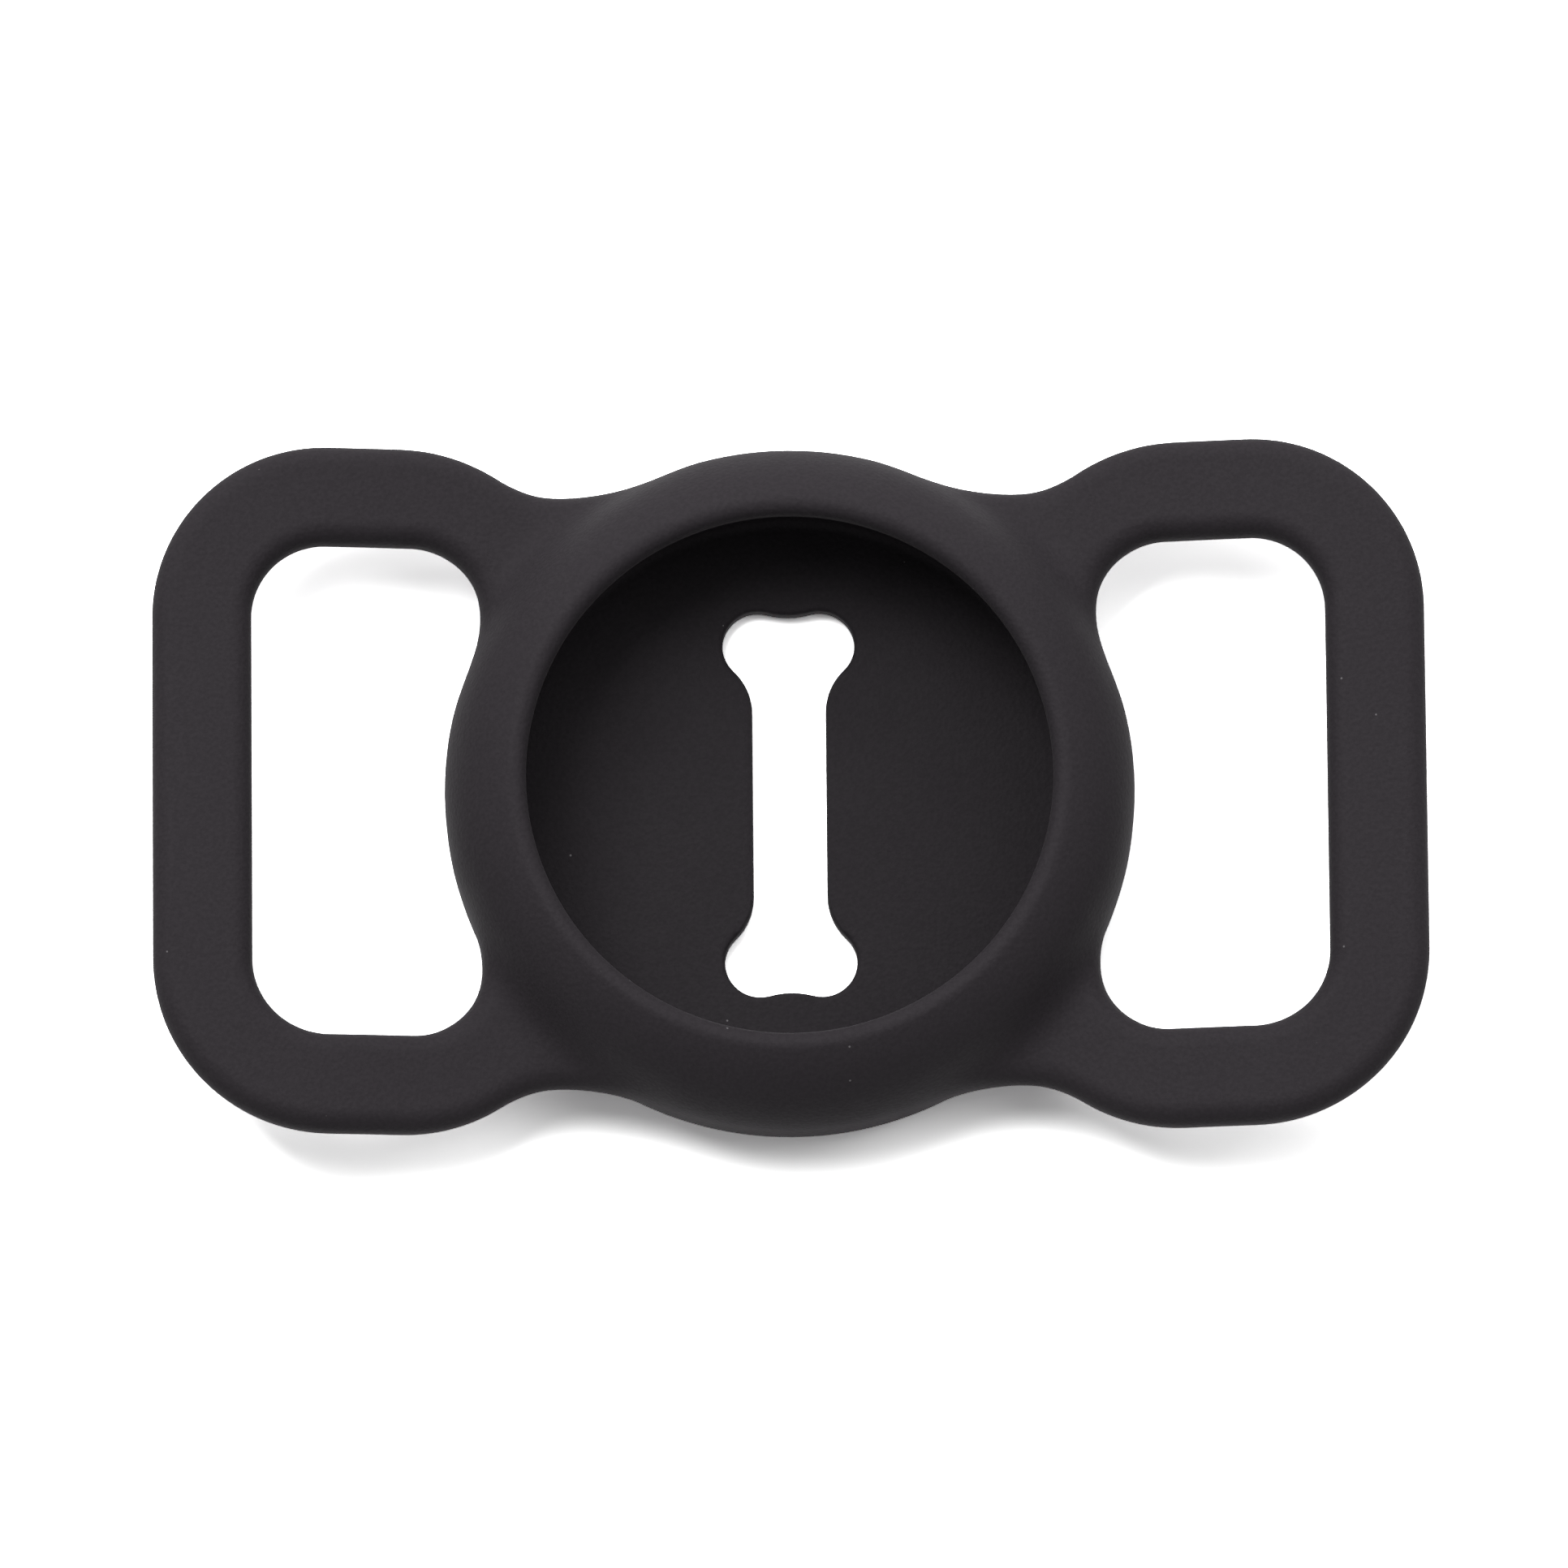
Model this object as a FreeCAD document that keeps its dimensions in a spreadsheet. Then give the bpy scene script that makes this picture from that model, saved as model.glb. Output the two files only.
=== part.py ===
"""Collar holder for a round tracker tag, moulded in one shot from soft silicone.

A round cup with a turned-in lip grips the tag. A bone-shaped window in its floor shows the tag's
face. A rounded strap loop springs from each side of the cup, and a collar threads through both.

One quarter of the moulding is modelled and mirrored twice. The moulding is then divided where it
flexes: the cup, two strap loops, and the four necks that bend when a loop folds.

Frame: millimetres, +X along the collar, +Y across it, +Z out of the tag's mouth. The origin is in
the middle of the flat underside.
"""
import FreeCAD
import Part
import math
import os

import Sketcher

DRIVING_SIZES = {
    # the tag that the cup is made for
    "tag_diameter": 31.9,
    "tag_thickness": 8.0,
    "tag_side_clearance": 0.1,
    "tag_end_clearance": 0.05,
    # cup
    "cup_wall": 2.95,
    "floor_thickness": 1.3,
    "lip_thickness": 1.7,
    "lip_overhang": 1.6,
    "lip_edge_radius": 0.75,
    "lip_under_radius": 0.2,
    "seat_corner_radius": 0.6,
    "cup_base_radius": 3.0,
    "cup_dome_radius": 6.1,
    # bone-shaped window in the floor
    "bone_length": 21.7,
    "bone_end_width": 7.3,
    "bone_shaft_width": 4.06,
    "bone_lobe_radius": 1.95,
    "bone_dip_radius": 4.6,
    "bone_throat_radius": 3.2,
    "bone_edge_radius": 0.25,
    # strap loops, which stand a little wider than the cup; each slot starts inside the cup's outline
    "loop_side_step": 0.15,
    "loop_corner_radius": 9.6,
    "bar_width": 5.45,
    "bar_thickness": 2.8,
    "bar_edge_radius": 1.15,
    "rounding_limit_share": 0.49,
    "slot_sink": 2.0,
    "slot_length": 12.55,
    "slot_inner_radius": 3.8,
    # the outline between cup and loop: a notch, and the shoulder that it swings into
    "notch_place": 12.5,
    "notch_depth": 2.62,
    "notch_radius": 6.4,
    "shoulder_radius": 10.0,
    # where the loops leave the cup, and how far they rise towards the collar
    "web_height": 4.6,
    "rise_setback": 10.0,
    "loop_rise": 2.5,
    "root_fillet_radius": 2.0,
    "root_start": 6.0,
    "root_sink": 0.375,
    # the stretch of each bar that bends
    "neck_setoff": 0.6,
    "neck_length": 3.0,
    # overrun of cuts and division blocks past the surfaces that they cross
    "overrun": 2.0,
}

DERIVED_SIZES = {
    "pocket_radius": "=tag_diameter / 2 + tag_side_clearance",
    "cup_radius": "=pocket_radius + cup_wall",
    "mouth_radius": "=pocket_radius - lip_overhang",
    "lip_underside": "=floor_thickness + tag_thickness + tag_end_clearance",
    "rim_height": "=lip_underside + lip_thickness",
    "dome_start": "=rim_height - cup_dome_radius",
    "root_radius": "=pocket_radius + cup_wall / 2",
    "slot_start": "=cup_radius - slot_sink",
    "slot_end": "=slot_start + slot_length",
    "loop_reach": "=slot_end + bar_width",
    "loop_half_width": "=cup_radius + loop_side_step",
    "notch_half_width": "=loop_half_width - notch_depth",
    "run_length": "=notch_place - root_start",
    "run_rise": "=sqrt((cup_radius - root_sink) ^ 2 - root_start ^ 2) - notch_half_width",
    "notch_run_radius": "=(run_length ^ 2 + run_rise ^ 2) / (2 * run_rise)",
    "bar_rounding": "=min(bar_edge_radius; bar_thickness * rounding_limit_share)",
    "slot_half_width": "=loop_half_width - bar_width",
    "slot_outer_radius": "=loop_corner_radius - bar_width",
    "web_underside": "=web_height - bar_thickness / 2",
    "web_top": "=web_height + bar_thickness / 2",
    "rise_start": "=cup_radius - rise_setback",
    "rise_length": "=loop_reach - rise_start",
    "rise_radius": "=(rise_length ^ 2 + loop_rise ^ 2) / (4 * loop_rise)",
    "slab_start": "=root_start - overrun",
    "slab_end": "=loop_reach + overrun",
    "slab_depth": "=loop_half_width + overrun",
    "risen_underside": "=web_underside + loop_rise",
    "risen_top": "=web_top + loop_rise",
    "inside_rise_radius": "=rise_radius - bar_thickness / 2",
    "outside_rise_radius": "=rise_radius + bar_thickness / 2",
    "trim_margin": "=2 * overrun",
    "trim_end": "=loop_reach + trim_margin",
    "trim_depth": "=loop_half_width + trim_margin",
    "bone_shaft_half": "=bone_shaft_width / 2",
    "bone_lobe_place": "=bone_length / 2 - bone_lobe_radius",
    "bone_lobe_offset": "=bone_end_width / 2 - bone_lobe_radius",
    "window_depth": "=floor_thickness + overrun",
    "neck_start": "=cup_radius + neck_setoff",
    "neck_end": "=neck_start + neck_length",
    "cup_block_length": "=2 * neck_start",
    "loop_block_length": "=loop_reach + overrun - neck_end",
    "block_half_width": "=loop_half_width + overrun",
    "block_width": "=2 * block_half_width",
    "block_height": "=rim_height + 2 * overrun",
}

NECKS = ("front_left_neck", "rear_left_neck", "front_right_neck", "rear_right_neck")

SHEET = "sizes"
SMALL_SHARE = 0.001
QUARTER_TURN = 90
ORIGIN_POINT = (-1, 1)


def make_sheet(doc):
    """Write the driving and the derived sizes to the spreadsheet, one named cell each."""
    sheet = doc.addObject("Spreadsheet::Sheet", SHEET)
    rows = list(DRIVING_SIZES.items()) + list(DERIVED_SIZES.items())
    for row, (name, value) in enumerate(rows, start=1):
        sheet.set(f"A{row}", name)
        sheet.set(f"B{row}", str(value))
        sheet.setAlias(f"B{row}", name)
    doc.recompute()
    return sheet


def bind(item, **properties):
    """Bind an object's properties to sizes in the sheet; a leading minus turns the sign."""
    for name, size_name in properties.items():
        sign = "-" if size_name.startswith("-") else ""
        item.setExpression(name.replace("__", "."), f"{sign}{SHEET}.{size_name.lstrip('-')}")


class Profile:
    """A sketch on one of a body's origin planes, drawn as one chain of lines and arcs."""

    def __init__(self, body, name, plane_role):
        self.sketch = body.newObject("Sketcher::SketchObject", name)
        planes = body.Origin.OriginFeatures
        plane = next(item for item in planes if item.Role == plane_role)
        self.sketch.AttachmentSupport = [(plane, "")]
        self.sketch.MapMode = "FlatFace"

    def line(self, start, end, direction=None):
        """Add a line, held Horizontal or Vertical where a direction is given."""
        a = FreeCAD.Vector(start[0], start[1], 0)
        b = FreeCAD.Vector(end[0], end[1], 0)
        index = self.sketch.addGeometry(Part.LineSegment(a, b), False)
        if direction:
            self.sketch.addConstraint(Sketcher.Constraint(direction, index))
        return (index, 1, 2)

    def arc(self, centre, start, end, turn, radius=None):
        """Add an arc about a centre, from start to end, turning left (1) or right (-1)."""
        size = math.dist(centre, start)
        first = math.atan2(start[1] - centre[1], start[0] - centre[0])
        last = math.atan2(end[1] - centre[1], end[0] - centre[0])
        middle = FreeCAD.Vector(centre[0], centre[1], 0)
        circle = Part.Circle(middle, FreeCAD.Vector(0, 0, 1), size)
        angles = (first, last) if turn > 0 else (last, first)
        index = self.sketch.addGeometry(Part.ArcOfCircle(circle, *angles), False)
        if radius:
            self.drive("Radius", (index,), radius)
        return (index, 1, 2) if turn > 0 else (index, 2, 1)

    def join(self, chain, closed=True, corners=()):
        """Join each piece of a chain to the next: smoothly, or as a corner where listed."""
        pairs = list(zip(chain, chain[1:]))
        if closed:
            pairs.append((chain[-1], chain[0]))
        for before, after in pairs:
            kind = "Coincident" if (before, after) in corners else "Tangent"
            ends = (before[0], before[2], after[0], after[1])
            self.sketch.addConstraint(Sketcher.Constraint(kind, *ends))

    def drive(self, kind, places, size_name):
        """Add a dimension that follows a size in the sheet."""
        value = self.sketch.Document.getObject(SHEET).get(size_name)
        index = self.sketch.addConstraint(Sketcher.Constraint(kind, *places, value))
        self.sketch.setExpression(f"Constraints[{index}]", f"{SHEET}.{size_name}")

    def place(self, point, x=None, y=None):
        """Hold a point at an x or y that follows a size; a leading minus means below zero."""
        for kind, size_name in (("DistanceX", x), ("DistanceY", y)):
            if size_name is None:
                continue
            below = size_name.startswith("-")
            ends = point + ORIGIN_POINT if below else ORIGIN_POINT + point
            self.drive(kind, ends, size_name.lstrip("-"))


def add_slab(body, size):
    """Pad the slab that the strap loops are cut from: flat at the cup, then rising outwards."""
    left = size("slab_start")
    right = size("slab_end")
    start = size("rise_start")
    end = size("loop_reach")
    middle = (start + end) / 2
    low = size("web_height")
    rise = size("loop_rise")
    radius = size("rise_radius")
    lower_centre = (start, low + radius)
    upper_centre = (end, low + rise - radius)
    profile = Profile(body, "slab_section", "XZ_Plane")

    def skin(side):
        """Draw one skin of the slab, half a thickness below (-1) or above (1) its middle."""
        offset = side * size("bar_thickness") / 2
        lean = math.asin((middle - start) / radius)
        bend = (middle - offset * math.sin(lean), low + rise / 2 + offset * math.cos(lean))
        flat = profile.line((left, low + offset), (start, low + offset), "Horizontal")
        first_radius = "inside_rise_radius" if side > 0 else "outside_rise_radius"
        first = profile.arc(lower_centre, (start, low + offset), bend, 1, first_radius)
        second = profile.arc(upper_centre, bend, (end, low + rise + offset), -1)
        far = profile.line((end, low + rise + offset), (right, low + rise + offset), "Horizontal")
        profile.join([flat, first, second, far], closed=False)
        profile.place((flat[0], 1), "slab_start", "web_top" if side > 0 else "web_underside")
        profile.place((flat[0], 2), "rise_start")
        profile.place((far[0], 1), "loop_reach", "risen_top" if side > 0 else "risen_underside")
        profile.place((far[0], 2), "slab_end")
        return flat, far

    under = skin(-1)
    upper = skin(1)
    for lower, higher, end_of in ((under[0], upper[0], 1), (under[1], upper[1], 2)):
        ends = [(lower[0], end_of), (higher[0], end_of)]
        points = [profile.sketch.getPoint(*end) for end in ends]
        wall = profile.line((points[0].x, points[0].y), (points[1].x, points[1].y))
        for position, place in enumerate(ends, start=1):
            profile.sketch.addConstraint(Sketcher.Constraint("Coincident", wall[0], position, *place))
    pad = body.newObject("PartDesign::Pad", "slab")
    pad.Profile = profile.sketch
    pad.Reversed = True
    bind(pad, Length="slab_depth")
    return pad


def add_trim(body, size):
    """Cut the slab to the quarter plan of the strap loop, its slot, shoulder and notch."""
    over = size("overrun")
    slot_in = size("slot_start")
    slot_out = size("slot_end")
    slot_top = size("slot_half_width")
    small = size("slot_inner_radius")
    wide = size("slot_outer_radius")
    reach = size("loop_reach")
    top = size("loop_half_width")
    corner = size("loop_corner_radius")
    notch = (size("notch_place"), size("notch_half_width"))
    notch_radius = size("notch_radius")
    run_radius = size("notch_run_radius")
    shoulder = size("shoulder_radius")
    root_x = size("root_start")
    root_radius = size("root_radius")

    notch_centre = (notch[0], notch[1] + notch_radius)
    run_centre = (notch[0], notch[1] + run_radius)
    drop = notch_centre[1] - (top - shoulder)
    spread = math.sqrt((notch_radius + shoulder) ** 2 - drop**2)
    shoulder_centre = (notch[0] + spread, top - shoulder)
    share = notch_radius / (notch_radius + shoulder)
    swap = (notch[0] + spread * share, notch_centre[1] - drop * share)
    run_end = (root_x, run_centre[1] - math.sqrt(run_radius**2 - (notch[0] - root_x) ** 2))
    root_top = (root_x, math.sqrt(root_radius**2 - root_x**2))
    root_low = (slot_in, math.sqrt(root_radius**2 - slot_in**2))

    plan = Profile(body, "loop_plan", "XY_Plane")
    inner_side = plan.line(root_low, (slot_in, slot_top - small), "Vertical")
    inner_centre = (slot_in + small, slot_top - small)
    inner_corner = plan.arc(
        inner_centre, (slot_in, slot_top - small), (slot_in + small, slot_top), -1, "slot_inner_radius"
    )
    slot_side = plan.line((slot_in + small, slot_top), (slot_out - wide, slot_top), "Horizontal")
    outer_centre = (slot_out - wide, slot_top - wide)
    outer_corner = plan.arc(
        outer_centre, (slot_out - wide, slot_top), (slot_out, slot_top - wide), -1, "slot_outer_radius"
    )
    bar_inside = plan.line((slot_out, slot_top - wide), (slot_out, -over), "Vertical")
    bar_end = plan.line((slot_out, -over), (reach, -over), "Horizontal")
    bar_outside = plan.line((reach, -over), (reach, top - corner), "Vertical")
    corner_centre = (reach - corner, top - corner)
    loop_corner = plan.arc(
        corner_centre, (reach, top - corner), (reach - corner, top), 1, "loop_corner_radius"
    )
    loop_side = plan.line((reach - corner, top), (shoulder_centre[0], top), "Horizontal")
    shoulder_arc = plan.arc(shoulder_centre, (shoulder_centre[0], top), swap, 1, "shoulder_radius")
    notch_arc = plan.arc(notch_centre, swap, notch, -1, "notch_radius")
    notch_run = plan.arc(run_centre, notch, run_end, -1, "notch_run_radius")
    root_side = plan.line(run_end, root_top, "Vertical")
    root_arc = plan.arc((0, 0), root_top, root_low, -1, "root_radius")
    chain = [
        inner_side, inner_corner, slot_side, outer_corner, bar_inside, bar_end, bar_outside,
        loop_corner, loop_side, shoulder_arc, notch_arc, notch_run, root_side, root_arc,
    ]
    corners = {
        (bar_inside, bar_end), (bar_end, bar_outside), (notch_run, root_side),
        (root_side, root_arc), (root_arc, inner_side),
    }
    plan.join(chain, corners=corners)
    plan.place((inner_side[0], 2), "slot_start")
    plan.place((slot_side[0], 1), None, "slot_half_width")
    plan.place((bar_inside[0], 2), "slot_end", "-overrun")
    plan.place((bar_outside[0], 2), "loop_reach")
    plan.place((loop_side[0], 1), None, "loop_half_width")
    plan.place((notch_arc[0], notch_arc[2]), "notch_place", "notch_half_width")
    plan.place((notch_arc[0], 3), "notch_place")
    plan.place((root_side[0], 2), "root_start")
    plan.sketch.addConstraint(Sketcher.Constraint("Coincident", root_arc[0], 3, *ORIGIN_POINT))

    margin = size("trim_margin")
    frame_right = size("trim_end")
    frame_top = size("trim_depth")
    corners_at = [
        (-margin, -margin), (frame_right, -margin), (frame_right, frame_top), (-margin, frame_top),
    ]
    sides = []
    for index, start in enumerate(corners_at):
        direction = "Vertical" if index % 2 else "Horizontal"
        sides.append(plan.line(start, corners_at[(index + 1) % 4], direction))
    plan.join(sides, corners=set(zip(sides, sides[1:] + sides[:1])))
    plan.place((sides[0][0], 1), "-trim_margin", "-trim_margin")
    plan.place((sides[2][0], 1), "trim_end", "trim_depth")

    trim = body.newObject("PartDesign::Pocket", "loop_trim")
    trim.Profile = plan.sketch
    trim.Type = "ThroughAll"
    trim.Midplane = True
    return trim


def add_cup(body, size):
    """Revolve a quarter of the cup: floor, wall, domed shoulder and turned-in lip."""
    outer = size("cup_radius")
    base = size("cup_base_radius")
    dome = size("cup_dome_radius")
    dome_start = size("dome_start")
    mouth = size("mouth_radius")
    edge = size("lip_edge_radius")
    under = size("lip_under_radius")
    lip = size("lip_underside")
    pocket = size("pocket_radius")
    corner = size("seat_corner_radius")
    floor = size("floor_thickness")

    dome_centre = (outer - dome, dome_start)
    edge_run = mouth + edge - dome_centre[0]
    edge_rise = math.sqrt((dome - edge) ** 2 - edge_run**2)
    edge_centre = (mouth + edge, dome_start + edge_rise)
    share = dome / (dome - edge)
    crest = (dome_centre[0] + edge_run * share, dome_start + edge_rise * share)

    cup = Profile(body, "cup_section", "XZ_Plane")
    underside = cup.line((0, 0), (outer - base, 0), "Horizontal")
    base_arc = cup.arc((outer - base, base), (outer - base, 0), (outer, base), 1, "cup_base_radius")
    wall = cup.line((outer, base), (outer, dome_start), "Vertical")
    dome_arc = cup.arc(dome_centre, (outer, dome_start), crest, 1, "cup_dome_radius")
    lip_arc = cup.arc(edge_centre, crest, (mouth, edge_centre[1]), 1, "lip_edge_radius")
    land = cup.line((mouth, edge_centre[1]), (mouth, lip + under), "Vertical")
    under_arc = cup.arc(
        (mouth + under, lip + under), (mouth, lip + under), (mouth + under, lip), 1, "lip_under_radius"
    )
    lip_under = cup.line((mouth + under, lip), (pocket - corner, lip), "Horizontal")
    top_corner = cup.arc(
        (pocket - corner, lip - corner), (pocket - corner, lip), (pocket, lip - corner), -1,
        "seat_corner_radius",
    )
    seat = cup.line((pocket, lip - corner), (pocket, floor + corner), "Vertical")
    low_corner = cup.arc(
        (pocket - corner, floor + corner), (pocket, floor + corner), (pocket - corner, floor), -1,
        "seat_corner_radius",
    )
    floor_top = cup.line((pocket - corner, floor), (0, floor), "Horizontal")
    axis = cup.line((0, floor), (0, 0), "Vertical")
    chain = [
        underside, base_arc, wall, dome_arc, lip_arc, land, under_arc, lip_under, top_corner, seat,
        low_corner, floor_top, axis,
    ]
    cup.join(chain, corners={(floor_top, axis), (axis, underside)})
    cup.sketch.addConstraint(Sketcher.Constraint("Coincident", underside[0], 1, *ORIGIN_POINT))
    cup.place((wall[0], 2), "cup_radius", "dome_start")
    cup.place((land[0], 1), "mouth_radius")
    cup.place((lip_under[0], 1), None, "lip_underside")
    cup.place((seat[0], 1), "pocket_radius")
    cup.place((floor_top[0], 1), None, "floor_thickness")

    turn = body.newObject("PartDesign::Revolution", "cup_turn")
    turn.Profile = cup.sketch
    turn.ReferenceAxis = (cup.sketch, ["V_Axis"])
    turn.Angle = QUARTER_TURN
    return turn


def add_bone_window(body, size):
    """Cut a quarter of the bone-shaped window through the floor."""
    over = size("overrun")
    shaft = size("bone_shaft_half")
    lobe = size("bone_lobe_radius")
    dip = size("bone_dip_radius")
    throat = size("bone_throat_radius")
    lobe_centre = (size("bone_lobe_offset"), size("bone_lobe_place"))
    throat_drop = math.sqrt((lobe + throat) ** 2 - (shaft + throat - lobe_centre[0]) ** 2)
    throat_centre = (shaft + throat, lobe_centre[1] - throat_drop)
    dip_centre = (0, lobe_centre[1] + math.sqrt((lobe + dip) ** 2 - lobe_centre[0] ** 2))

    def between(first, second, share):
        """Give the point at a share of the way from the first point to the second."""
        return tuple(a + (b - a) * share for a, b in zip(first, second))

    lobe_start = between(lobe_centre, throat_centre, lobe / (lobe + throat))
    lobe_end = between(lobe_centre, dip_centre, lobe / (lobe + dip))
    dip_end = (-over, dip_centre[1] - math.sqrt(dip**2 - over**2))

    bone = Profile(body, "bone_plan", "XY_Plane")
    foot = bone.line((-over, -over), (shaft, -over), "Horizontal")
    side = bone.line((shaft, -over), (shaft, throat_centre[1]), "Vertical")
    throat_arc = bone.arc(throat_centre, (shaft, throat_centre[1]), lobe_start, -1, "bone_throat_radius")
    lobe_arc = bone.arc(lobe_centre, lobe_start, lobe_end, 1, "bone_lobe_radius")
    dip_arc = bone.arc(dip_centre, lobe_end, dip_end, -1, "bone_dip_radius")
    back = bone.line(dip_end, (-over, -over), "Vertical")
    chain = [foot, side, throat_arc, lobe_arc, dip_arc, back]
    bone.join(chain, corners={(foot, side), (dip_arc, back), (back, foot)})
    bone.place((foot[0], 1), "-overrun", "-overrun")
    bone.place((lobe_arc[0], 3), "bone_lobe_offset", "bone_lobe_place")
    bone.place((side[0], 1), "bone_shaft_half")
    bone.sketch.addConstraint(Sketcher.Constraint("Vertical", *ORIGIN_POINT, dip_arc[0], 3))

    window = body.newObject("PartDesign::Pocket", "bone_window")
    window.Profile = bone.sketch
    window.Type = "Length"
    window.Reversed = True
    bind(window, Length="window_depth")
    return window


def face_normal(face):
    """Give a face's normal at the middle of its parameter range."""
    low_u, high_u, low_v, high_v = face.ParameterRange
    return face.normalAt((low_u + high_u) / 2, (low_v + high_v) / 2)


def edge_middle(edge):
    """Give the point halfway along an edge's parameter range."""
    return edge.valueAt((edge.FirstParameter + edge.LastParameter) / 2)


def bar_edges(shape, size):
    """Name the edges where the loop's skins meet the walls that stay in sight."""
    near = size("bar_rounding") * SMALL_SHARE
    names = []
    for index, edge in enumerate(shape.Edges, start=1):
        faces = shape.ancestorsOfType(edge, Part.Face)
        upright = [face for face in faces if abs(face_normal(face).z) < SMALL_SHARE]
        if len(faces) != 2 or len(upright) != 1:
            continue
        middle = edge_middle(edge)
        on_mirror = abs(middle.y) < near
        on_root_side = abs(middle.x - size("root_start")) < near
        on_root_arc = abs(math.hypot(middle.x, middle.y) - size("root_radius")) < near
        if not (on_mirror or on_root_side or on_root_arc):
            names.append(f"Edge{index}")
    return names


def is_turned(face):
    """Say whether a face is turned about the cup's own axis."""
    surface = face.Surface
    if not hasattr(surface, "Axis") or not hasattr(surface, "Center"):
        return False
    along = abs(surface.Axis.z) > 1 - SMALL_SHARE
    return along and math.hypot(surface.Center.x, surface.Center.y) < SMALL_SHARE


def root_edges(shape, size):
    """Name the edges where a web runs into the outside of the cup."""
    near = size("bar_rounding") * SMALL_SHARE
    names = []
    for index, edge in enumerate(shape.Edges, start=1):
        faces = shape.ancestorsOfType(edge, Part.Face)
        middle = edge_middle(edge)
        beside_cup = math.hypot(middle.x, middle.y) > size("root_radius")
        at_web = abs(middle.z - size("web_height")) < size("bar_thickness")
        on_mirror = min(abs(middle.x), abs(middle.y)) < near
        turned = [face for face in faces if is_turned(face)]
        if beside_cup and at_web and not on_mirror and len(turned) == 1:
            names.append(f"Edge{index}")
    return names


def window_edges(shape, size):
    """Name the edges round the bone window on both faces of the floor."""
    near = size("floor_thickness") * SMALL_SHARE
    names = []
    for index, edge in enumerate(shape.Edges, start=1):
        box = edge.BoundBox
        flat = box.ZLength < near
        level = min(abs(box.ZMin), abs(box.ZMin - size("floor_thickness"))) < near
        faces = shape.ancestorsOfType(edge, Part.Face)
        upright = [face for face in faces if abs(face_normal(face).z) < SMALL_SHARE]
        middle = edge_middle(edge)
        on_mirror = min(abs(middle.x), abs(middle.y)) < near
        inside = math.hypot(middle.x, middle.y) < size("mouth_radius")
        if flat and level and inside and len(upright) == 1 and not on_mirror:
            names.append(f"Edge{index}")
    return names


def add_fillet(body, name, base, edges, radius):
    """Round edges of a feature with one radius from the sheet."""
    fillet = body.newObject("PartDesign::Fillet", name)
    fillet.Base = (base, edges)
    bind(fillet, Radius=radius)
    return fillet


def add_mirror(body, name, plane_role):
    """Mirror the whole body so far in one of its origin planes."""
    mirror = body.newObject("PartDesign::Mirrored", name)
    mirror.TransformMode = "Whole shape"
    plane = next(item for item in body.Origin.OriginFeatures if item.Role == plane_role)
    mirror.MirrorPlane = (plane, [""])
    body.Tip = mirror
    return mirror


def make_moulding(doc, size):
    """Model the undivided moulding: a quarter, rounded and blended, then mirrored twice."""
    body = doc.addObject("PartDesign::Body", "moulding")
    add_slab(body, size)
    doc.recompute()
    trim = add_trim(body, size)
    doc.recompute()
    add_fillet(body, "bar_rounding", trim, bar_edges(trim.Shape, size), "bar_rounding")
    doc.recompute()
    turn = add_cup(body, size)
    doc.recompute()
    roots = add_fillet(body, "root_blend", turn, root_edges(turn.Shape, size), "root_fillet_radius")
    doc.recompute()
    window = add_bone_window(body, size)
    doc.recompute()
    if window.Shape.Volume >= roots.Shape.Volume:
        raise RuntimeError("the bone window cut nothing")
    add_fillet(body, "window_rounding", window, window_edges(window.Shape, size), "bone_edge_radius")
    doc.recompute()
    add_mirror(body, "mirror_across", "XZ_Plane")
    doc.recompute()
    add_mirror(body, "mirror_along", "YZ_Plane")
    doc.recompute()
    return body


def add_piece(doc, moulding, name, start, length, width="block_width", side="-block_half_width"):
    """Take one piece out of the moulding: what lies in a block from start along X and side along Y."""
    block = doc.addObject("Part::Box", f"{name}_block")
    bind(block, Length=length, Width=width, Height="block_height")
    bind(block, Placement__Base__x=start, Placement__Base__z="-overrun")
    if side:
        bind(block, Placement__Base__y=side)
    piece = doc.addObject("Part::Common", name)
    piece.Base = moulding
    piece.Tool = block
    piece.Label = name
    return piece


def divide(doc, moulding):
    """Divide the moulding at the necks, and give the pieces."""
    pieces = [
        add_piece(doc, moulding, "pocket_cup", "-neck_start", "cup_block_length"),
        add_piece(doc, moulding, "left_loop", "-slab_end", "loop_block_length"),
        add_piece(doc, moulding, "right_loop", "neck_end", "loop_block_length"),
    ]
    for name in NECKS:
        start = "-neck_end" if "left" in name else "neck_start"
        side = "-block_half_width" if "front" in name else None
        pieces.append(add_piece(doc, moulding, name, start, "neck_length", "block_half_width", side))
    doc.recompute()
    return pieces


def check(doc, pieces):
    """Stop if an object failed or a piece isn't one valid solid."""
    for item in doc.Objects:
        if "Invalid" in item.State or "Error" in item.State:
            raise RuntimeError(f"{item.Name} failed: {item.State}")
    for piece in pieces:
        shape = piece.Shape
        if shape.isNull() or not shape.isValid() or len(shape.Solids) != 1:
            raise RuntimeError(f"{piece.Label} isn't one valid solid")


def main():
    """Build the document, check every object and write one file a piece."""
    doc = FreeCAD.newDocument("tag_holder")
    sheet = make_sheet(doc)
    moulding = make_moulding(doc, sheet.get)
    pieces = divide(doc, moulding)
    check(doc, pieces)
    os.makedirs("parts", exist_ok=True)
    for piece in pieces:
        piece.Shape.exportStep(f"parts/{piece.Label}.step")
        box = piece.Shape.optimalBoundingBox(True, False)
        print(piece.Label, round(piece.Shape.Volume, 2), box)


main()
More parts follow.
